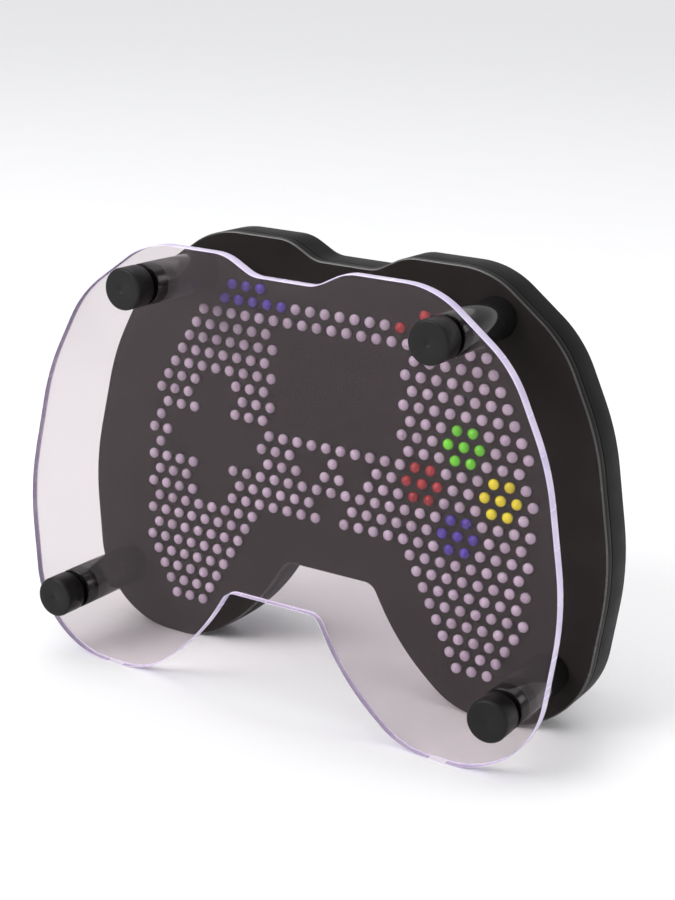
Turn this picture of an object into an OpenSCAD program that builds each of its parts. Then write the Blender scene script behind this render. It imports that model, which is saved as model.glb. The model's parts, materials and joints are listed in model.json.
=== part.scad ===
// Pin impression toy in the shape of a game controller.
// A clear window stands in front of a perforated pin block. The pins slide
// through the block, and their heads stop against the window.
// X is the width, the front faces -Y, Z is up. The origin is on the surface
// that the two grips stand on, in the middle of the overall width and depth.

/* [Outline] */
// Height from the grips' lowest points to the top of the shoulders
body_h = 118.5; // [118:0.5:119]
// Half of the width of the middle notch in the top edge
notch_half_w = 9; // [8:0.5:10]
// Depth of the notch below the shoulders
notch_depth = 4.5; // [3.5:0.5:5.5]
// Height of the arch between the grips
arch_h = 29.5; // [28:0.5:30]
// Width of the wall of the rear housing
wall_t = 3; // [2.5:0.1:3.2]

/* [Layers] */
// Thickness of the clear window
window_t = 3; // [2.5:0.5:4]
// Clear space between the window and the pin plate
gap = 27; // [22:0.5:30]
// Thickness of the pin plate
plate_t = 3; // [2:0.5:4]
// Depth of the rear housing, floor included
housing_d = 9.5; // [8:0.5:12]
// Thickness of the rear housing's perforated floor
floor_t = 3; // [2:0.5:4]
// Wall of the rear housing's screw bosses
boss_wall = 2.3; // [2:0.1:2.5]

/* [Pins] */
// Distance between neighbouring pins in a row
pin_pitch = 4.5; // [4.4:0.1:4.6]
// Distance between rows
row_pitch = 4; // [3.9:0.1:4.1]
// Height of the top row of pins
top_row_z = 104.5; // [104:0.5:105]
// Diameter of a pin's shaft
shaft_d = 2; // [1.8:0.1:2.1]
// Diameter of a pin's round head
head_d = 2.9; // [2.8:0.1:3.2]
// Length of the cylinder under a head's dome
head_collar = 0.6; // [0.4:0.1:0.8]
// Height of a head's low dome
head_dome = 0.8; // [0.6:0.1:1.2]
// Diameter of the pin holes
pin_hole_d = 2.5; // [2.5:0.1:2.7]
// Length of tail still outside the rear floor when a pin is fully forward
tail_margin = 0.5; // [0.5:0.5:3]
// Gap left between a pin's head and what it stops against
stop_gap = 0.3; // [0.2:0.1:0.4]

/* [Posts] */
// Diameter of the spacer posts and of the knobs
post_d = 11; // [10.5:0.5:11]
// Length of a front knob
front_knob_l = 6.5; // [5.5:0.5:8]
// Length of a rear knob
rear_knob_l = 5; // [4.8:0.1:6]
// Half of the distance between the two upper posts
upper_post_x = 44; // [43.5:0.5:44.5]
// Height of the upper posts
upper_post_z = 106.7; // [106.5:0.1:107]
// Half of the distance between the two lower posts
lower_post_x = 66; // [65:0.5:67]
// Height of the lower posts
lower_post_z = 17.6; // [17:0.1:19]
// Diameter of the threaded rods
rod_d = 4; // [3:0.5:4]

/* [Hidden] */

// Chord angle of the outline's arcs
arc_step = 4;
// Radial clearance of a rod in its holes
rod_clearance = 0.1;
rod_hole_d = rod_d + 2 * rod_clearance;
// How deep a rod goes into each knob
rod_grip = 3.8;
// Depth left free past the end of a rod in a knob
rod_end_gap = 0.3;
// Bevel round the outer end of a knob
knob_bevel = 0.7;
// Overlap that joins the primitives of one solid
lap = 0.01;

total_d = window_t + gap + plate_t + housing_d;
head_h = head_collar + head_dome;
// Radius of the sphere that a head's dome is part of
dome_r = (pow(head_d / 2, 2) + pow(head_dome, 2)) / (2 * head_dome);
pin_travel = gap - head_h - 2 * stop_gap;
tail_out = pin_travel + tail_margin;
tail_bevel = 0.5;

overall_d = front_knob_l + total_d + tail_out;
window_front_y = front_knob_l - overall_d / 2;
window_back_y = window_front_y + window_t;
plate_front_y = window_back_y + gap;
plate_back_y = plate_front_y + plate_t;
housing_back_y = plate_back_y + housing_d;
floor_front_y = housing_back_y - floor_t;

// Right half of the outline, from the notch to the arch: x, z and the radius
// that rounds the corner. The first and last points lie on the middle line.
half_outline = [
    [0, body_h - notch_depth, 0],
    [notch_half_w, body_h - notch_depth, 9],
    [notch_half_w + 8.5, body_h, 13],
    [41.5, body_h, 24],
    [62.5, 102.5, 33],
    [73.5, 80, 65],
    [80, 46, 74],
    [75, 0, 25],
    [40, 0, 22],
    [22.5, 14, 64],
    [13.5, arch_h, 4],
    [0, arch_h, 0]
];

// Pins lie on a grid of half columns h, counted from the middle line, and of
// rows v, counted down from the top row. Rows are offset by one half column.
last_row = 23;
last_half_column = 26;
// Rows at the top that hold only the bumpers and the upper bridge
bumper_rows = 1;
bumper_start = 8;
// First row of the grips
grip_row = 16;
// Half width of the screen, in half columns, and its rows
screen_half = 8;
screen_rows = [3, 9];
// Middle of the direction pad, its long half arm and its short half arm
dpad = [-17, 11];
dpad_long = [6, 4];
dpad_short = [2, 1];
// Middle pins of the four round buttons
green_button = [17, 8];
red_button = [12, 11];
yellow_button = [22, 11];
blue_button = [17, 14];

lilac = [0.68, 0.6, 0.7];
violet_blue = [0.3, 0.2, 0.68];
red = [0.7, 0.12, 0.15];
green = [0.35, 0.78, 0.15];
yellow = [0.9, 0.8, 0.05];
black = [0.06, 0.055, 0.06];

// ---- Outline ----

function unit(v) = v / norm(v);
function flat(p) = [p[0], p[1]];
function turn(v, a) = [v[0] * cos(a) - v[1] * sin(a), v[0] * sin(a) + v[1] * cos(a)];
function side(a, b) = a[0] * b[1] - a[1] * b[0];

// Arc that rounds the corner at b, between its neighbours a and c
function corner(a, b, c, r) =
    let (
        to_a = unit(a - b),
        to_c = unit(c - b),
        half = acos(to_a * to_c) / 2,
        middle = b + unit(to_a + to_c) * r / sin(half),
        start = b + to_a * r / tan(half) - middle,
        swing = (180 - 2 * half) * sign(side(b - a, c - b)),
        steps = max(2, ceil(abs(swing) / arc_step))
    )
    [for (i = [0:steps]) middle + turn(start, swing * i / steps)];

// Point where the side into corner i and the side out of it meet once both
// have moved inwards by d
function moved_corner(points, i, d) =
    let (
        a = flat(points[i - 1]),
        b = flat(points[i]),
        c = flat(points[i + 1]),
        n_in = turn(unit(b - a), -90),
        n_out = turn(unit(c - b), -90)
    )
    b + (n_in + n_out) * d / (1 + n_in * n_out);

// The half outline with every side moved inwards by d
function inset_half(points, d) =
    let (last = len(points) - 1)
    [for (i = [0:last])
        let (
            end = i == 0 || i == last,
            drop = i == 0 ? -d : d,
            b = end ? flat(points[i]) + [0, drop] : moved_corner(points, i, d),
            bend = end ? 0 : side(flat(points[i] - points[i - 1]), flat(points[i + 1] - points[i]))
        )
        [b[0], b[1], end ? 0 : points[i][2] + sign(bend) * d]];

function rounded_half(points) =
    let (last = len(points) - 1)
    [for (i = [1:last - 1])
        each corner(flat(points[i - 1]), flat(points[i]), flat(points[i + 1]), points[i][2])];

function mirrored(points) =
    [for (i = [len(points) - 1:-1:0]) [-points[i][0], points[i][1]]];

// Face of the controller's outline, moved inwards by d
module outline(d = 0) {
    right = rounded_half(inset_half(half_outline, d));
    polygon(concat(right, mirrored(right)));
}

// Extrudes a face in X and Z from y0 back to y1
module layer(y0, y1) {
    translate([0, y1, 0]) rotate([90, 0, 0]) linear_extrude(y1 - y0) children();
}

// ---- Pin pattern ----

// Widest half column of a row
function reach(v) = v <= bumper_rows ? 15 + v
    : min(17 + v, v < 11 ? last_half_column - 1 : last_half_column, 45 - v);
// Narrowest half column of a row: the grips leave the arch free
function start(v) = v == 0 ? 11 : v >= grip_row ? v - 5 : 0;

function in_box(h, v, at, half) = abs(h - at[0]) <= half[0] && abs(v - at[1]) <= half[1];
function on_screen(h, v) = abs(h) <= screen_half && v >= screen_rows[0] && v <= screen_rows[1];
function on_dpad(h, v) =
    in_box(h, v, dpad, [dpad_long[0], dpad_short[1]]) || in_box(h, v, dpad, [dpad_short[0], dpad_long[1]]);
// Two small triangles under the screen and one between them, lower down
function on_option_button(h, v) =
    (v == 11 && abs(h) >= 2 && abs(h) <= 4) || (v == 12 && abs(h) == 3)
    || (v == 14 && abs(h) == 1) || (v == 15 && h == 0);
function has_pin(h, v) =
    (h + v) % 2 != 0 && abs(h) >= start(v) && abs(h) <= reach(v)
    && !on_screen(h, v) && !on_dpad(h, v) && !on_option_button(h, v);

function in_button(h, v, at) = abs(v - at[1]) <= 1 && abs(h - at[0]) <= 2 - abs(v - at[1]);
function button_of(h, v) =
    in_button(h, v, green_button) ? "green_button"
    : in_button(h, v, red_button) ? "red_button"
    : in_button(h, v, yellow_button) ? "yellow_button"
    : in_button(h, v, blue_button) ? "blue_button" : "";
function field_of(h, v) =
    v <= bumper_rows && abs(h) >= bumper_start ? "bumper"
    : v <= bumper_rows + 1 && abs(h) <= bumper_start ? "top_bridge"
    : v < 7 ? "shoulder"
    : v < grip_row ? (abs(h) > 18 ? "outer" : abs(h) <= screen_half ? "centre_bridge" : "inner")
    : v < 20 ? "grip" : "grip_tip";
function has_sides(field) = field != "top_bridge" && field != "centre_bridge";
// Name of the group that the pin at h, v belongs to
function group_of(h, v) =
    let (button = button_of(h, v), field = field_of(h, v))
    button != "" ? button
    : has_sides(field) ? str(h < 0 ? "left_" : "right_", field) : field;

function pin_place(h, v) = [h * pin_pitch / 2, top_row_z - v * row_pitch];
pin_cells = [for (v = [0:last_row]) for (h = [-last_half_column:last_half_column]) if (has_pin(h, v)) [h, v]];

// ---- Posts ----

function upper_post(right) = [right * upper_post_x, upper_post_z];
function lower_post(right) = [right * lower_post_x, lower_post_z];
posts = [upper_post(-1), upper_post(1), lower_post(-1), lower_post(1)];

// Puts its children on a post or pin axis, with their +Z pointing to the rear
module along_y(place, y = 0) {
    translate([place[0], y, place[1]]) rotate([-90, 0, 0]) children();
}

module rod_holes() {
    for (p = posts) translate(p) circle(d = rod_hole_d, $fn = 32);
}

module pin_holes() {
    for (c = pin_cells) translate(pin_place(c[0], c[1])) circle(d = pin_hole_d, $fn = 24);
}

module spacer(place) {
    color(black) along_y(place, window_back_y) difference() {
        cylinder(d = post_d, h = gap, $fn = 64);
        translate([0, 0, -1]) cylinder(d = rod_hole_d, h = gap + 2, $fn = 32);
    }
}

// Knob that stands on z = 0 with its blind hole open downwards
module knob(length) {
    hole_depth = rod_grip + rod_end_gap;
    color(black) difference() {
        union() {
            cylinder(d = post_d, h = length - knob_bevel, $fn = 64);
            translate([0, 0, length - knob_bevel - lap])
                cylinder(d1 = post_d, d2 = post_d - 2 * knob_bevel, h = knob_bevel + lap, $fn = 64);
        }
        translate([0, 0, -1]) cylinder(d = rod_hole_d, h = hole_depth + 1, $fn = 32);
    }
}

module front_knob(place) {
    along_y(place, window_front_y) mirror([0, 0, 1]) knob(front_knob_l);
}

module rear_knob(place) {
    along_y(place, housing_back_y) knob(rear_knob_l);
}

// ---- Pins ----

// Pin on the Z axis, tail towards +Z, with z = 0 under its head
module pin() {
    shaft_l = stop_gap + plate_t + housing_d + tail_out;
    cylinder(d = shaft_d, h = shaft_l - tail_bevel, $fn = 24);
    translate([0, 0, shaft_l - tail_bevel - lap])
        cylinder(d1 = shaft_d, d2 = shaft_d - 2 * tail_bevel, h = tail_bevel + lap, $fn = 24);
    translate([0, 0, -head_h]) intersection() {
        cylinder(d = head_d, h = head_h + lap, $fn = 32);
        translate([0, 0, dome_r]) sphere(r = dome_r, $fn = 64);
    }
}

module pin_group(name, shade) {
    color(shade) for (c = pin_cells) if (group_of(c[0], c[1]) == name)
        along_y(pin_place(c[0], c[1]), plate_front_y - stop_gap) pin();
}

// ---- Sub-parts ----

module front_window() {
    color([0.85, 0.85, 0.92, 0.35]) layer(window_front_y, window_back_y) difference() {
        outline();
        rod_holes();
    }
}

module pin_plate() {
    color(black) layer(plate_front_y, plate_back_y) difference() {
        outline();
        rod_holes();
        pin_holes();
    }
}

module rear_housing() {
    color(black) union() {
        layer(floor_front_y, housing_back_y) difference() {
            outline();
            rod_holes();
            pin_holes();
        }
        layer(plate_back_y, floor_front_y + lap) difference() {
            union() {
                difference() {
                    outline();
                    outline(wall_t);
                }
                for (p = posts) translate(p) circle(d = rod_hole_d + 2 * boss_wall, $fn = 64);
            }
            rod_holes();
        }
    }
}

module threaded_rods() {
    color("silver") for (p = posts)
        along_y(p, window_front_y - rod_grip) cylinder(d = rod_d, h = total_d + 2 * rod_grip, $fn = 32);
}

front_window();
pin_plate();
rear_housing();
front_knob(upper_post(-1));  // front_knob_upper_left
front_knob(upper_post(1));  // front_knob_upper_right
front_knob(lower_post(-1));  // front_knob_lower_left
front_knob(lower_post(1));  // front_knob_lower_right
spacer(upper_post(-1));  // spacer_upper_left
spacer(upper_post(1));  // spacer_upper_right
spacer(lower_post(-1));  // spacer_lower_left
spacer(lower_post(1));  // spacer_lower_right
rear_knob(upper_post(-1));  // rear_knob_upper_left
rear_knob(upper_post(1));  // rear_knob_upper_right
rear_knob(lower_post(-1));  // rear_knob_lower_left
rear_knob(lower_post(1));  // rear_knob_lower_right
threaded_rods();
pin_group("left_bumper", violet_blue);  // pins_left_bumper
pin_group("right_bumper", red);  // pins_right_bumper
pin_group("top_bridge", lilac);  // pins_top_bridge
pin_group("left_shoulder", lilac);  // pins_left_shoulder
pin_group("right_shoulder", lilac);  // pins_right_shoulder
pin_group("left_outer", lilac);  // pins_left_outer
pin_group("left_inner", lilac);  // pins_left_inner
pin_group("centre_bridge", lilac);  // pins_centre_bridge
pin_group("right_inner", lilac);  // pins_right_inner
pin_group("right_outer", lilac);  // pins_right_outer
pin_group("green_button", green);  // pins_green_button
pin_group("red_button", red);  // pins_red_button
pin_group("yellow_button", yellow);  // pins_yellow_button
pin_group("blue_button", violet_blue);  // pins_blue_button
pin_group("left_grip", lilac);  // pins_left_grip
pin_group("right_grip", lilac);  // pins_right_grip
pin_group("left_grip_tip", lilac);  // pins_left_grip_tip
pin_group("right_grip_tip", lilac);  // pins_right_grip_tip
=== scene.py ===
"""Looks of the pin impression toy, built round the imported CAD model.

Lengths in the shape code are millimetres, and the Shell class turns them into
metres. The front faces -Y and Z is up.
"""

import json
import math
import random

import bmesh
import bpy
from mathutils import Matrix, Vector
from mathutils.geometry import delaunay_2d_cdt


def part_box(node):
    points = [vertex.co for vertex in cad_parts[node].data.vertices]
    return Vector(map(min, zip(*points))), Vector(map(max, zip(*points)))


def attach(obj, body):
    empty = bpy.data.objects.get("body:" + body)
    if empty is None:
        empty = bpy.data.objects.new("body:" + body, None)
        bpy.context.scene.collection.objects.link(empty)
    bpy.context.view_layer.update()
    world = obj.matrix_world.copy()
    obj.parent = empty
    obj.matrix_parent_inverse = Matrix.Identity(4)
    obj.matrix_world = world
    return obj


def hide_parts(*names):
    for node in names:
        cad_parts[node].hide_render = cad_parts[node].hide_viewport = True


MM = 0.001

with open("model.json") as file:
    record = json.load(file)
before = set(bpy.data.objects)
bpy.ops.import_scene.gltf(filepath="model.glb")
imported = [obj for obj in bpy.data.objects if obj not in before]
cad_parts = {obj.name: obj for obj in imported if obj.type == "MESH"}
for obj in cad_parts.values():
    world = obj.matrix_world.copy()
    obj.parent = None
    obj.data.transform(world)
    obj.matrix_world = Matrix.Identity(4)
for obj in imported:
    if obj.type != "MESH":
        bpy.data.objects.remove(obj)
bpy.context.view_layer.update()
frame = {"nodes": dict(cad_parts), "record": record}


# ---------------------------------------------------------------- camera

VIEW_AZIMUTH = math.radians(30)
VIEW_ELEVATION = math.radians(16.5)
VIEW_ROLL = math.radians(2.8)
VIEW_DISTANCE = 0.46
LENS_MM = 69
CAMERA_TARGET = Vector((0.0, 0.0, 0.064))


def aim(obj, place, target):
    obj.location = place
    obj.rotation_euler = (target - place).to_track_quat("-Z", "Y").to_euler()


def add_camera():
    data = bpy.data.cameras.new("camera")
    data.sensor_width = 36
    data.lens = LENS_MM
    data.clip_start = 0.01
    data.clip_end = 50
    camera = bpy.data.objects.new("camera", data)
    bpy.context.scene.collection.objects.link(camera)
    bpy.context.scene.camera = camera
    out = Vector((
        math.sin(VIEW_AZIMUTH) * math.cos(VIEW_ELEVATION),
        -math.cos(VIEW_AZIMUTH) * math.cos(VIEW_ELEVATION),
        math.sin(VIEW_ELEVATION),
    ))
    aim(camera, CAMERA_TARGET + out * VIEW_DISTANCE, CAMERA_TARGET)
    camera.rotation_euler.rotate_axis("Z", VIEW_ROLL)


add_camera()


# ---------------------------------------------------------------- sizes from the CAD model


def span(node_name):
    """Lowest and highest corner of a CAD node, in millimetres."""
    low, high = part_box(node_name)
    return Vector(low) / MM, Vector(high) / MM


WINDOW_FRONT = span("front_window")[0].y
WINDOW_BACK = span("front_window")[1].y
PLATE_FRONT = span("pin_plate")[0].y
PLATE_BACK = span("pin_plate")[1].y
HOUSING_BACK = span("rear_housing")[1].y

# Wall and perforated floor of the rear housing
WALL = 3.0
FLOOR = 3.0
FLOOR_FRONT = HOUSING_BACK - FLOOR
ROD_RADIUS = 2.0
ROD_HOLE_RADIUS = 2.1
# Bosses round the rods, inside the housing
BOSS_RADIUS = 4.4
PIN_HOLE_RADIUS = 1.25
# Grid of the pins: half a spacing across, a whole row down from the top row
HALF_PITCH = 2.25
ROW_PITCH = 4.0
TOP_ROW_Z = 104.5

SIDES = ("upper_left", "upper_right", "lower_left", "lower_right")


def post_place(side):
    low, high = span("spacer_" + side)
    return (low.x + high.x) / 2, (low.z + high.z) / 2


POSTS = [post_place(side) for side in SIDES]
PIN_NODES = [name for name in frame["nodes"] if name.startswith("pins_")]


TAIL_END_SLACK = 0.01 * MM


def pin_cells(node_name):
    """Half columns and rows of a group's pins, read from the ends of their tails."""
    vertices = frame["nodes"][node_name].data.vertices
    tail_end = max(v.co.y for v in vertices)
    tails = [v.co / MM for v in vertices if v.co.y > tail_end - TAIL_END_SLACK]
    cells = {(round(p.x / HALF_PITCH), round((TOP_ROW_Z - p.z) / ROW_PITCH)) for p in tails}
    return sorted(cells)


def cell_place(cell):
    return cell[0] * HALF_PITCH, TOP_ROW_Z - cell[1] * ROW_PITCH


CELLS = {name: pin_cells(name) for name in PIN_NODES}
PIN_PLACES = [cell_place(cell) for name in PIN_NODES for cell in CELLS[name]]


# ---------------------------------------------------------------- outline

# Right half of the outline, from the notch to the arch: x, z and corner radius
HALF_OUTLINE = (
    (0, 114, 0),
    (9, 114, 9),
    (17.5, 118.5, 13),
    (41.5, 118.5, 24),
    (62.5, 102.5, 33),
    (73.5, 80, 65),
    (80, 46, 74),
    (75, 0, 25),
    (40, 0, 22),
    (22.5, 14, 64),
    (13.5, 29.5, 4),
    (0, 29.5, 0),
)
ARC_STEP = math.radians(2.5)


def turned(v, angle):
    c = math.cos(angle)
    s = math.sin(angle)
    return Vector((v.x * c - v.y * s, v.x * s + v.y * c))


def bend(a, b, c):
    """Positive where the line a, b, c turns left."""
    return (b - a).cross(c - b)


def moved_corner(a, b, c, inset):
    n_in = turned((b - a).normalized(), -math.pi / 2)
    n_out = turned((c - b).normalized(), -math.pi / 2)
    return b + (n_in + n_out) * inset / (1 + n_in.dot(n_out))


def arc(a, b, c, radius):
    to_a = (a - b).normalized()
    to_c = (c - b).normalized()
    half = to_a.angle(to_c) / 2
    middle = b + (to_a + to_c).normalized() * radius / math.sin(half)
    start = b + to_a * radius / math.tan(half) - middle
    swing = math.copysign(math.pi - 2 * half, bend(a, b, c))
    steps = max(2, math.ceil(abs(swing) / ARC_STEP))
    return [middle + turned(start, swing * i / steps) for i in range(steps + 1)]


def outline(inset=0.0):
    """The controller's outline moved inwards, as x, z points with even steps round each corner."""
    corners = [Vector(p[:2]) for p in HALF_OUTLINE]
    last = len(corners) - 1
    moved = [corners[0] - Vector((0, inset))]
    radii = [0]
    for i in range(1, last):
        a, b, c = corners[i - 1 : i + 2]
        moved.append(moved_corner(a, b, c, inset))
        radii.append(HALF_OUTLINE[i][2] + math.copysign(inset, bend(a, b, c)))
    moved.append(corners[last] + Vector((0, inset)))
    right = []
    for i in range(1, last):
        right += arc(moved[i - 1], moved[i], moved[i + 1], radii[i])
    left = [Vector((-p.x, p.y)) for p in reversed(right)]
    return right + left


def circle(place, radius, count, phase=0.0):
    points = []
    for i in range(count):
        angle = math.tau * i / count + phase
        offset = Vector((math.cos(angle), math.sin(angle))) * radius
        points.append(Vector(place) + offset)
    return points


def rounded_edge(radius, steps):
    """Pairs of inset and depth from a flat face round to the side."""
    pairs = []
    for i in range(steps + 1):
        angle = math.pi / 2 * i / steps
        pairs.append((radius * (1 - math.sin(angle)), radius * (1 - math.cos(angle))))
    return pairs


# ---------------------------------------------------------------- mesh building


class Shell:
    """Collects rings of points and the faces between them, then makes one mesh object."""

    def __init__(self):
        self.vertices = []
        self.faces = []
        self.slots = []
        self.smooth = []
        self.tones = []
        self.tone = 0.5

    def ring(self, points, y):
        first = len(self.vertices)
        for p in points:
            self.vertices.append((p[0] * MM, y * MM, p[1] * MM))
            self.tones.append(self.tone)
        return list(range(first, len(self.vertices)))

    def face(self, corners, slot, smooth):
        self.faces.append(corners)
        self.slots.append(slot)
        self.smooth.append(smooth)

    def bridge(self, a, b, slot=0):
        """Joins two rings. A ring of one point makes a fan."""
        count = max(len(a), len(b))
        for i in range(count):
            j = (i + 1) % count
            corners = [a[i % len(a)], a[j % len(a)], b[j % len(b)], b[i % len(b)]]
            self.face(list(dict.fromkeys(corners)), slot, True)

    def tube(self, rings, slot=0):
        for a, b in zip(rings, rings[1:]):
            self.bridge(a, b, slot)

    def fill(self, outer, holes, slot=0):
        """Flat face inside the outer ring and outside the round or convex holes."""
        loops = [outer, *holes]
        ids = [i for loop in loops for i in loop]
        owner = {}
        edges = []
        start = 0
        for n, loop in enumerate(loops):
            count = len(loop)
            for k in range(count):
                owner[start + k] = n
                edges.append((start + k, start + (k + 1) % count))
            start += count
        flat = [Vector((self.vertices[i][0], self.vertices[i][2])) / MM for i in ids]
        made = delaunay_2d_cdt(flat, edges, [], 1, 1e-6)
        origin = [sources[0] for sources in made[3]]
        for triangle in made[2]:
            a, b, c = (origin[k] for k in triangle)
            if owner[a] == owner[b] == owner[c] and owner[a] > 0:
                continue
            self.face([ids[a], ids[b], ids[c]], slot, False)

    def object(self, name, materials):
        mesh = bpy.data.meshes.new(name)
        mesh.from_pydata(self.vertices, [], self.faces)
        mesh.polygons.foreach_set("material_index", self.slots)
        mesh.polygons.foreach_set("use_smooth", self.smooth)
        tones = mesh.attributes.new("tone", "FLOAT", "POINT")
        tones.data.foreach_set("value", self.tones)
        for material in materials:
            mesh.materials.append(material)
        work = bmesh.new()
        work.from_mesh(mesh)
        bmesh.ops.recalc_face_normals(work, faces=work.faces)
        work.to_mesh(mesh)
        work.free()
        made = bpy.data.objects.new(name, mesh)
        bpy.context.scene.collection.objects.link(made)
        return made


def lathe(shell, place, profile, count, phase=0.0):
    """Turns a profile of radius and y round an axis along Y."""
    rings = []
    for radius, y in profile:
        if radius == 0:
            rings.append(shell.ring([place], y))
        else:
            rings.append(shell.ring(circle(place, radius, count, phase), y))
    shell.tube(rings)


def fillet(radius, y, inner, outer, steps):
    """Quarter circle at a turned piece's end: from the side's radius and y, turning to the end face.

    inner is how far the radius shrinks and outer how far y moves, with its sign.
    """
    points = []
    for i in range(steps + 1):
        angle = math.pi / 2 * i / steps
        points.append((radius - inner * (1 - math.cos(angle)), y + outer * math.sin(angle)))
    return points


# ---------------------------------------------------------------- materials


class Paint:
    """A node material with one Principled shader, and short ways to add nodes to it."""

    def __init__(self, name):
        self.material = bpy.data.materials.new(name)
        self.material.use_nodes = True
        self.tree = self.material.node_tree
        self.shader = self.tree.nodes["Principled BSDF"]
        self.output = self.tree.nodes["Material Output"]
        self.place = self.node("ShaderNodeTexCoord").outputs["Object"]

    def node(self, kind, values=None, **settings):
        made = self.tree.nodes.new(kind)
        for key, value in settings.items():
            setattr(made, key, value)
        for key, value in (values or {}).items():
            if isinstance(value, bpy.types.NodeSocket):
                self.tree.links.new(value, made.inputs[key])
            else:
                made.inputs[key].default_value = value
        return made

    def set(self, **values):
        for key, value in values.items():
            self.shader.inputs[key.replace("_", " ")].default_value = value

    def feed(self, socket, source):
        self.tree.links.new(source, self.shader.inputs[socket])

    def noise(self, size_mm, detail=3, stretch=(1, 1, 1)):
        """Noise with features of about this size."""
        mapping = self.node("ShaderNodeMapping", {"Vector": self.place, "Scale": stretch})
        values = {"Vector": mapping.outputs["Vector"], "Scale": 1 / (size_mm * MM), "Detail": detail}
        return self.node("ShaderNodeTexNoise", values).outputs["Fac"]

    def between(self, source, low, high, start=0.3, end=0.7):
        """Source mapped from start..end to low..high."""
        values = {"Value": source, "From Min": start, "From Max": end, "To Min": low, "To Max": high}
        return self.node("ShaderNodeMapRange", values).outputs["Result"]

    def mix(self, factor, a, b, blend="MIX"):
        """Colours a and b mixed. Sockets 0, 6 and 7 are the mix node's factor and its two colours."""
        values = {0: factor, 6: a, 7: b}
        return self.node("ShaderNodeMix", values, data_type="RGBA", blend_type=blend).outputs[2]

    def bump(self, source, height_mm, under=None):
        values = {"Height": source, "Distance": height_mm * MM, "Strength": 1.0}
        if under is not None:
            values["Normal"] = under
        return self.node("ShaderNodeBump", values).outputs["Normal"]


def colour(r, g, b):
    """Linear colour from screen values between 0 and 255."""
    return tuple(((v / 255 + 0.055) / 1.055) ** 2.4 for v in (r, g, b)) + (1.0,)


def moulded(name, dark, light, roughness, level):
    """Moulded plastic: a fine grain, a faint flow pattern and uneven gloss.

    roughness is its lowest and highest value, and level the strength of the shine.
    """
    paint = Paint(name)
    flow = paint.noise(14, 4)
    grain = paint.noise(0.5, 1)
    sag = paint.noise(11, 0)
    paint.feed("Base Color", paint.mix(paint.between(flow, 0, 1), dark, light))
    paint.feed("Roughness", paint.between(paint.noise(7, 2), roughness[0], roughness[1]))
    ripple = paint.bump(sag, 0.02)
    paint.feed("Normal", paint.bump(grain, 0.0008, ripple))
    paint.set(Specular_IOR_Level=level)
    return paint.material


def acrylic_face():
    """Clear cast sheet with faint smudges and a lavender tint, darkened partly as painted shade. Lamps
    shine straight through it.
    """
    paint = Paint("acrylic_face")
    smudge = paint.noise(22, 2)
    paint.set(Transmission_Weight=1.0, IOR=1.32, Specular_Tint=(1.0, 0.86, 0.9, 1))
    # Base colour: the sheet's own tint, made darker to stand in for shade on the floor behind it, so
    # partly painted shade; the smudges are real
    tint_with_painted_shade = (0.72, 0.672, 0.69, 1)
    smudged_tint_with_painted_shade = (0.69, 0.643, 0.662, 1)
    paint.feed("Base Color", paint.mix(paint.between(smudge, 0, 1, 0.45, 0.7), tint_with_painted_shade, smudged_tint_with_painted_shade))
    paint.feed("Normal", paint.bump(paint.noise(30, 0), 0.01))
    paint.set(Roughness=0.0)
    clear = paint.node("ShaderNodeBsdfTransparent", {"Color": (0.9, 0.88, 0.89, 1)})
    shadow = paint.node("ShaderNodeLightPath").outputs["Is Shadow Ray"]
    shaders = {0: shadow, 1: paint.shader.outputs[0], 2: clear.outputs[0]}
    both = paint.node("ShaderNodeMixShader", shaders)
    paint.tree.links.new(both.outputs[0], paint.output.inputs["Surface"])
    return paint.material


def acrylic_edge():
    """Cut and polished edge of the sheet. Its light lavender base colour is a painted glow, in place of
    the light the edge gathers.
    """
    paint = Paint("acrylic_edge")
    strokes = paint.noise(1.6, 3, (1, 0.15, 1))
    streaks = paint.noise(6, 3)
    # Painted glow: near-white lavender colours stand in for the light the polished edge gathers
    painted_glow_bright = colour(232, 222, 246)
    painted_glow_dim = colour(206, 194, 228)
    paint.feed("Base Color", paint.mix(paint.between(streaks, 0, 1), painted_glow_bright, painted_glow_dim))
    paint.feed("Roughness", paint.between(strokes, 0.12, 0.3))
    paint.feed("Normal", paint.bump(strokes, 0.008))
    paint.set(Transmission_Weight=0.15, IOR=1.45)
    return paint.material


def pin_plastic(name, base):
    """Glossy moulded pin plastic. Each pin's tone differs a little."""
    paint = Paint(name)
    tone = paint.node("ShaderNodeAttribute", attribute_name="tone").outputs["Fac"]
    light = tuple(min(1.0, v * 1.12 + 0.008) for v in base[:3]) + (1.0,)
    dark = tuple(v * 0.86 for v in base[:3]) + (1.0,)
    body = paint.mix(tone, dark, light)
    cloud = paint.between(paint.noise(1.1, 3), 0.93, 1.05)
    shade = paint.node("ShaderNodeCombineColor", {"Red": cloud, "Green": cloud, "Blue": cloud})
    paint.feed("Base Color", paint.mix(1.0, body, shade.outputs[0], "MULTIPLY"))
    paint.feed("Roughness", paint.between(paint.noise(0.8, 3), 0.2, 0.28))
    paint.feed("Normal", paint.bump(paint.noise(0.3, 2), 0.004))
    paint.set(Specular_IOR_Level=0.5)
    return paint.material


def rod_metal():
    """Zinc-plated thread with dull and bright patches."""
    paint = Paint("rod_zinc")
    patch = paint.noise(1.8, 4)
    bright = (0.66, 0.66, 0.68, 1)
    dull = (0.42, 0.42, 0.43, 1)
    paint.feed("Base Color", paint.mix(paint.between(patch, 0, 1), bright, dull))
    paint.feed("Roughness", paint.between(patch, 0.22, 0.42))
    paint.feed("Normal", paint.bump(paint.noise(0.15, 2), 0.004))
    paint.set(Metallic=1.0)
    return paint.material


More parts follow.
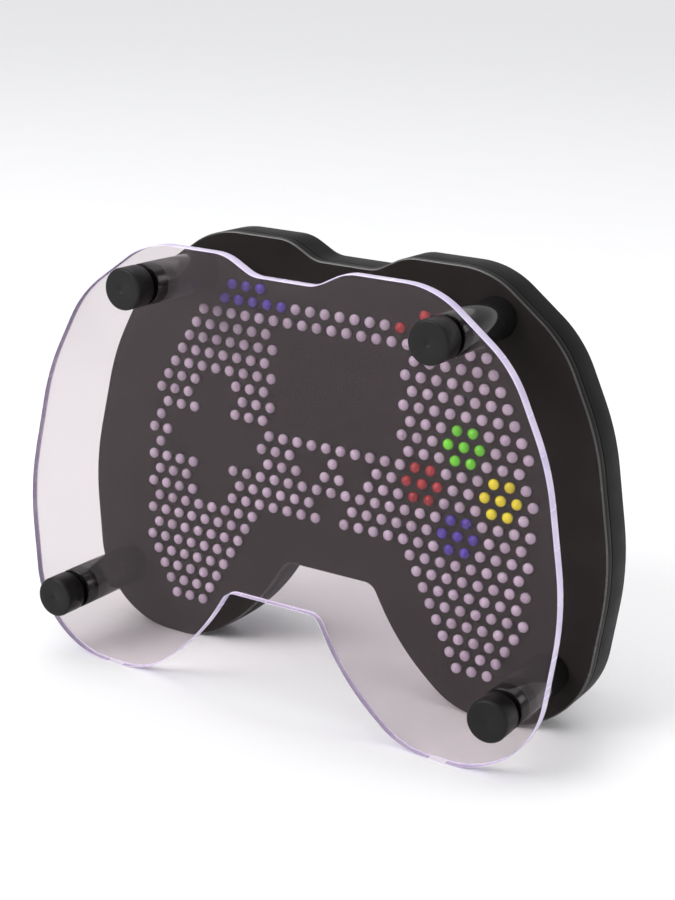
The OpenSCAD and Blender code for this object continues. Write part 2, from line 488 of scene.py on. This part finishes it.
def floor_paint():
    paint = Paint("floor_paper")
    paint.feed("Base Color", paint.mix(paint.noise(60, 4), (0.9, 0.9, 0.9, 1), (0.92, 0.92, 0.92, 1)))
    paint.feed("Normal", paint.bump(paint.noise(2, 3), 0.02))
    paint.set(Roughness=0.75, Specular_IOR_Level=0.2)
    return paint.material


ACRYLIC_FACE = acrylic_face()
ACRYLIC_EDGE = acrylic_edge()
PLATE_BLACK = moulded(
    "plate_black", (0.0135, 0.0112, 0.0108, 1), (0.0185, 0.0152, 0.0146, 1), (0.44, 0.54), 0.07
)
# Sides of the plate and housing: the same plastic made darker there, a painted shade
PAINTED_SHADE_SIDE_BLACK = moulded(
    "painted_shade_side_black", (0.0056, 0.0052, 0.005, 1), (0.0084, 0.0078, 0.0074, 1), (0.4, 0.5), 0.06
)
# Front edge of the pin plate: glossier plastic, and its lighter colour is a painted highlight line
GLOSS_EDGE_PAINTED_HIGHLIGHT = moulded(
    "gloss_edge_painted_highlight", (0.03, 0.029, 0.028, 1), (0.05, 0.048, 0.046, 1), (0.2, 0.3), 0.6
)
KNOB_BLACK = moulded(
    "knob_black", (0.0052, 0.005, 0.005, 1), (0.0076, 0.0073, 0.0073, 1), (0.34, 0.44), 0.2
)
POST_BLACK = moulded(
    "post_black", (0.007, 0.0072, 0.0075, 1), (0.01, 0.0102, 0.0105, 1), (0.1, 0.17), 0.55
)
ROD_ZINC = rod_metal()
PIN_COLOURS = {
    "pins_lilac": pin_plastic("pins_lilac", colour(187, 171, 189)),
    "pins_blue": pin_plastic("pins_blue", colour(68, 42, 160)),
    "pins_red": pin_plastic("pins_red", colour(168, 12, 24)),
    "pins_green": pin_plastic("pins_green", colour(106, 218, 8)),
    "pins_yellow": pin_plastic("pins_yellow", colour(236, 222, 0)),
}


# ---------------------------------------------------------------- pieces

# Sides of the round shapes
PIN_SIDES = 20
PIN_HOLE_SIDES = 24
ROD_SIDES = 24
ROD_HOLE_SIDES = 40
BOSS_SIDES = 48
POST_SIDES = 72
# Bevel at the ends of every hole
RIM = 0.15
# Rounding of the edges of each layer
WINDOW_EDGE = 0.25
PLATE_EDGE = 0.4
HOUSING_EDGE = 0.5


def stand_in(piece, node_name, body):
    """The piece shows in place of the CAD node and moves with its body."""
    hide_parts(node_name)
    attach(piece, body)


def sheet_edge(shell, y0, y1, radius, steps=3):
    """Side of a sheet with both edges rounded, its front edge in a slot of its own, which on the pin
    plate holds a glossier finish with a painted highlight.

    Slot 1 is the side and slot 2 the front edge. Gives the rings that bound the flat faces.
    """
    rings = []
    for inset, depth in rounded_edge(radius, steps):
        rings.append(shell.ring(outline(inset), y0 + depth))
    for inset, depth in reversed(rounded_edge(radius, steps)):
        rings.append(shell.ring(outline(inset), y1 - depth))
    shell.tube(rings[: steps + 1], 2)
    shell.tube(rings[steps:], 1)
    return rings[0], rings[-1]


def bored_hole(shell, place, radius, y0, y1, count):
    """Wall of a hole with a small bevel at each end. Gives its two end rings."""
    rings = [
        shell.ring(circle(place, radius + RIM, count), y0),
        shell.ring(circle(place, radius, count), y0 + RIM),
        shell.ring(circle(place, radius, count), y1 - RIM),
        shell.ring(circle(place, radius + RIM, count), y1),
    ]
    shell.tube(rings)
    return rings[0], rings[-1]


def rod_holes(shell, y0, y1):
    """Front rings and back rings of the four rod holes."""
    ends = [bored_hole(shell, place, ROD_HOLE_RADIUS, y0, y1, ROD_HOLE_SIDES) for place in POSTS]
    return list(zip(*ends))


def pin_holes(shell, y0, y1):
    """Front rings and back rings of all pin holes."""
    ends = [bored_hole(shell, place, PIN_HOLE_RADIUS, y0, y1, PIN_HOLE_SIDES) for place in PIN_PLACES]
    return list(zip(*ends))


def make_window():
    shell = Shell()
    front, back = sheet_edge(shell, WINDOW_FRONT, WINDOW_BACK, WINDOW_EDGE)
    rod_fronts, rod_backs = rod_holes(shell, WINDOW_FRONT, WINDOW_BACK)
    shell.fill(front, rod_fronts)
    shell.fill(back, rod_backs)
    sheet = shell.object("window_sheet", [ACRYLIC_FACE, ACRYLIC_EDGE, ACRYLIC_EDGE])
    stand_in(sheet, "front_window", "frame")


def make_pin_plate():
    shell = Shell()
    front, back = sheet_edge(shell, PLATE_FRONT, PLATE_BACK, PLATE_EDGE)
    pin_fronts, pin_backs = pin_holes(shell, PLATE_FRONT, PLATE_BACK)
    rod_fronts, rod_backs = rod_holes(shell, PLATE_FRONT, PLATE_BACK)
    shell.fill(front, [*pin_fronts, *rod_fronts])
    shell.fill(back, [*pin_backs, *rod_backs])
    # Slot 1, the sides, carries painted shade; slot 2, the front edge, a painted highlight
    sheet = shell.object("pin_sheet", [PLATE_BLACK, PAINTED_SHADE_SIDE_BLACK, GLOSS_EDGE_PAINTED_HIGHLIGHT])
    stand_in(sheet, "pin_plate", "frame")


def make_housing():
    shell = Shell()
    rim, back = sheet_edge(shell, PLATE_BACK, HOUSING_BACK, HOUSING_EDGE, steps=4)
    inner_front = shell.ring(outline(WALL), PLATE_BACK)
    inner_floor = shell.ring(outline(WALL), FLOOR_FRONT)
    shell.bridge(inner_front, inner_floor)
    shell.fill(rim, [inner_front])
    pin_fronts, pin_backs = pin_holes(shell, FLOOR_FRONT, HOUSING_BACK)
    rod_fronts, rod_backs = rod_holes(shell, PLATE_BACK, HOUSING_BACK)
    feet = []
    for place, top_hole in zip(POSTS, rod_fronts):
        foot = shell.ring(circle(place, BOSS_RADIUS, BOSS_SIDES), FLOOR_FRONT)
        top = shell.ring(circle(place, BOSS_RADIUS, BOSS_SIDES), PLATE_BACK)
        shell.bridge(foot, top)
        shell.fill(top, [top_hole])
        feet.append(foot)
    shell.fill(inner_floor, [*pin_fronts, *feet])
    shell.fill(back, [*pin_backs, *rod_backs])
    # The housing's outer side and edges carry the painted shade
    housing = shell.object("housing_shell", [PLATE_BLACK, PAINTED_SHADE_SIDE_BLACK, PAINTED_SHADE_SIDE_BLACK])
    stand_in(housing, "rear_housing", "frame")


KNOB_BORE = 4.1
KNOB_ROUND = 0.7
SEAT_CHAMFER = 0.2
TURNED_CHAMFER = 0.3
# Shallow dimple in the middle of a knob's outer end: radius and depth
KNOB_DIMPLE = ((1.15, 0), (0.9, 0.08), (0.55, 0.2), (0, 0.24))


def knob_profile(radius, seat, end):
    """Profile of a knob from the bottom of its bore out and round to the middle of its outer end."""
    out = 1 if end > seat else -1
    bottom = seat + out * KNOB_BORE
    profile = [
        (0, bottom),
        (ROD_HOLE_RADIUS, bottom),
        (ROD_HOLE_RADIUS, seat + out * TURNED_CHAMFER),
        (ROD_HOLE_RADIUS + TURNED_CHAMFER, seat),
        (radius - SEAT_CHAMFER, seat),
        (radius, seat + out * SEAT_CHAMFER),
    ]
    profile += fillet(radius, end - out * KNOB_ROUND, KNOB_ROUND, out * KNOB_ROUND, steps=6)
    profile += [(r, end - out * depth) for r, depth in KNOB_DIMPLE]
    return profile


def make_knob(kind, side):
    name = kind + "_knob_" + side
    low, high = span(name)
    radius = (high.x - low.x) / 2
    seat, end = (high.y, low.y) if kind == "front" else (low.y, high.y)
    shell = Shell()
    lathe(shell, post_place(side), knob_profile(radius, seat, end), POST_SIDES)
    stand_in(shell.object(name + "_turned", [KNOB_BLACK]), name, "frame")


def make_spacer(side):
    name = "spacer_" + side
    low, high = span(name)
    radius = (high.x - low.x) / 2
    profile = [
        (ROD_HOLE_RADIUS, low.y + TURNED_CHAMFER),
        (ROD_HOLE_RADIUS + TURNED_CHAMFER, low.y),
        (radius - TURNED_CHAMFER, low.y),
        (radius, low.y + TURNED_CHAMFER),
        (radius, high.y - TURNED_CHAMFER),
        (radius - TURNED_CHAMFER, high.y),
        (ROD_HOLE_RADIUS + TURNED_CHAMFER, high.y),
        (ROD_HOLE_RADIUS, high.y - TURNED_CHAMFER),
        (ROD_HOLE_RADIUS, low.y + TURNED_CHAMFER),
    ]
    shell = Shell()
    lathe(shell, post_place(side), profile, POST_SIDES)
    stand_in(shell.object(name + "_tube", [POST_BLACK]), name, "frame")


THREAD_PITCH = 0.7
THREAD_DEPTH = 0.3
# Rings in each turn of the thread
THREAD_STEPS = 4


def make_rods():
    """Threaded rods: the radius rises and falls with the turn and the length, and tapers at the ends."""
    low, high = span("threaded_rods")
    shell = Shell()
    rows = round((high.y - low.y) / THREAD_PITCH * THREAD_STEPS)
    for place in POSTS:
        rings = [shell.ring([place], low.y)]
        for row in range(rows + 1):
            y = low.y + (high.y - low.y) * row / rows
            taper = min(row, rows - row, THREAD_STEPS) / THREAD_STEPS
            points = []
            for i in range(ROD_SIDES):
                wave = abs(((y - low.y) / THREAD_PITCH + i / ROD_SIDES) % 1 * 2 - 1)
                radius = ROD_RADIUS - THREAD_DEPTH * max(wave, 1 - taper)
                points += circle(place, radius, 1, math.tau * i / ROD_SIDES)
            rings.append(shell.ring(points, y))
        rings.append(shell.ring([place], high.y))
        shell.tube(rings)
    stand_in(shell.object("rod_threads", [ROD_ZINC]), "threaded_rods", "frame")


HEAD_RADIUS = 1.45
HEAD_DOME = 0.8
HEAD_HEIGHT = 1.4
# Where the dome runs into the head's side: inwards and back, and how far forwards
HEAD_ROUND = 0.08
HEAD_ROUND_FRONT = 0.06
# The head's back edge, the neck and the end of the tail
UNDER_CHAMFER = 0.12
NECK_CHAMFER = 0.1
TAIL_ROUND = 0.5
SHAFT_RADIUS = 1.0
DOME_STEPS = 5


def pin_profile(tip, tail):
    """Profile of a pin from the middle of its low domed head to the end of its tail."""
    dome_radius = (HEAD_RADIUS**2 + HEAD_DOME**2) / (2 * HEAD_DOME)
    rim_angle = math.asin(HEAD_RADIUS / dome_radius)
    profile = [(0, tip)]
    for step in range(1, DOME_STEPS):
        angle = rim_angle * step / DOME_STEPS
        profile.append((dome_radius * math.sin(angle), tip + dome_radius * (1 - math.cos(angle))))
    rim = tip + HEAD_DOME
    under = tip + HEAD_HEIGHT
    profile += [
        (HEAD_RADIUS - HEAD_ROUND, rim - HEAD_ROUND_FRONT),
        (HEAD_RADIUS, rim + HEAD_ROUND),
        (HEAD_RADIUS, under - UNDER_CHAMFER),
        (HEAD_RADIUS - UNDER_CHAMFER, under),
        (SHAFT_RADIUS + NECK_CHAMFER, under),
        (SHAFT_RADIUS, under + NECK_CHAMFER),
    ]
    profile += fillet(SHAFT_RADIUS, tail - TAIL_ROUND, TAIL_ROUND, TAIL_ROUND, steps=3)
    profile.append((0, tail))
    return profile


# The record's material slot of each CAD node
NODE_SLOTS = {part["node"]: part["material_slot"] for part in frame["record"]["subparts"]}


def make_pins(node_name, seed):
    """One group of pins. Each pin gets its own tone and its own turn about its axis."""
    low, high = span(node_name)
    slot = NODE_SLOTS[node_name]
    chance = random.Random(seed)
    profile = pin_profile(low.y, high.y)
    shell = Shell()
    for cell in CELLS[node_name]:
        shell.tone = chance.random()
        lathe(shell, cell_place(cell), profile, PIN_SIDES, phase=chance.uniform(0, math.tau))
    stand_in(shell.object(node_name + "_turned", [PIN_COLOURS[slot]]), node_name, node_name)


make_window()
make_pin_plate()
make_housing()
for side in SIDES:
    make_knob("front", side)
    make_knob("rear", side)
    make_spacer(side)
make_rods()
for number, name in enumerate(PIN_NODES):
    make_pins(name, number)


# ---------------------------------------------------------------- floor and light

FLOOR_HALF = 30.0
LAMP_TARGET = Vector((0, 0, 0.06))


def add_floor():
    mesh = bpy.data.meshes.new("floor")
    half = FLOOR_HALF
    corners = [(-half, -half, 0), (half, -half, 0), (half, half, 0), (-half, half, 0)]
    mesh.from_pydata(corners, [], [(0, 1, 2, 3)])
    mesh.materials.append(floor_paint())
    floor = bpy.data.objects.new("floor", mesh)
    bpy.context.scene.collection.objects.link(floor)


def add_area(name, place, size, power):
    data = bpy.data.lights.new(name, "AREA")
    data.shape = "SQUARE"
    data.size = size
    data.energy = power
    lamp = bpy.data.objects.new(name, data)
    bpy.context.scene.collection.objects.link(lamp)
    aim(lamp, Vector(place), LAMP_TARGET)


def add_ceiling():
    """Very soft even light from above, which keeps the far floor white."""
    data = bpy.data.lights.new("ceiling", "SUN")
    data.energy = 1.3
    data.angle = math.radians(80)
    lamp = bpy.data.objects.new("ceiling", data)
    bpy.context.scene.collection.objects.link(lamp)
    aim(lamp, Vector((-0.3, 0.2, 1.0)), Vector((0, 0, 0)))


def add_world():
    """Grey surroundings that brighten towards the horizon, like a white wall behind the floor."""
    world = bpy.data.worlds.new("studio")
    world.use_nodes = True
    bpy.context.scene.world = world
    tree = world.node_tree
    background = tree.nodes["Background"]
    background.inputs["Color"].default_value = (0.97, 0.97, 1.0, 1)
    direction = tree.nodes.new("ShaderNodeTexCoord").outputs["Generated"]
    parts = tree.nodes.new("ShaderNodeSeparateXYZ")
    fade = tree.nodes.new("ShaderNodeMapRange")
    for key, value in {"From Min": 0.1, "From Max": 0.4, "To Min": 0.81, "To Max": 0.46}.items():
        fade.inputs[key].default_value = value
    tree.links.new(direction, parts.inputs["Vector"])
    tree.links.new(parts.outputs["Z"], fade.inputs["Value"])
    tree.links.new(fade.outputs["Result"], background.inputs["Strength"])


add_floor()
add_world()
add_ceiling()
add_area("overhead", (0.0, 0.4, 1.8), 2.2, 4)
add_area("front_left", (-0.6, -1.05, 0.75), 0.8, 13)
add_area("front_right", (0.9, -1.1, 1.0), 0.8, 1.5)
add_area("right_rim", (1.1, 0.2, 0.7), 0.5, 2)

bpy.context.scene.view_settings.view_transform = "Standard"
